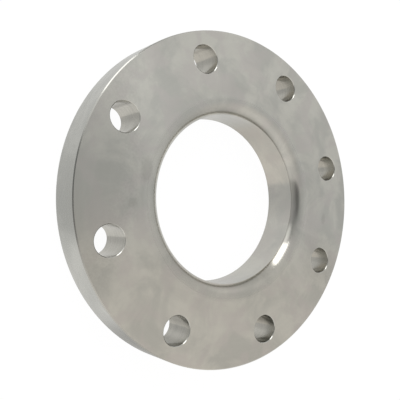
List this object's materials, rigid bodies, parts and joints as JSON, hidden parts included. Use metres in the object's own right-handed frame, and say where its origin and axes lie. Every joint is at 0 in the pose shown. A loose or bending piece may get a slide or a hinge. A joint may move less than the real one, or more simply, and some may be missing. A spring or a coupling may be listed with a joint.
{
  "type": "lap joint pipe flange",
  "caption": "Stainless lap joint pipe flange: a thick drilled ring with a flat face, a large corner radius into the bore and a short hub behind.",
  "frame": {"origin": "on the bore axis at the hub's end face, which the flange lies on", "axes": "+Z along the bore axis from the hub to the lap face; the bolt holes straddle the X axis"},
  "size_m": [0.2276, 0.2276, 0.0326],
  "materials": {
    "stainless_steel": "fine turned and drilled, satin, with faint clouding"
  },
  "bodies": {
    "root": {"flange": "stainless_steel"}
  },
  "joints": []
}
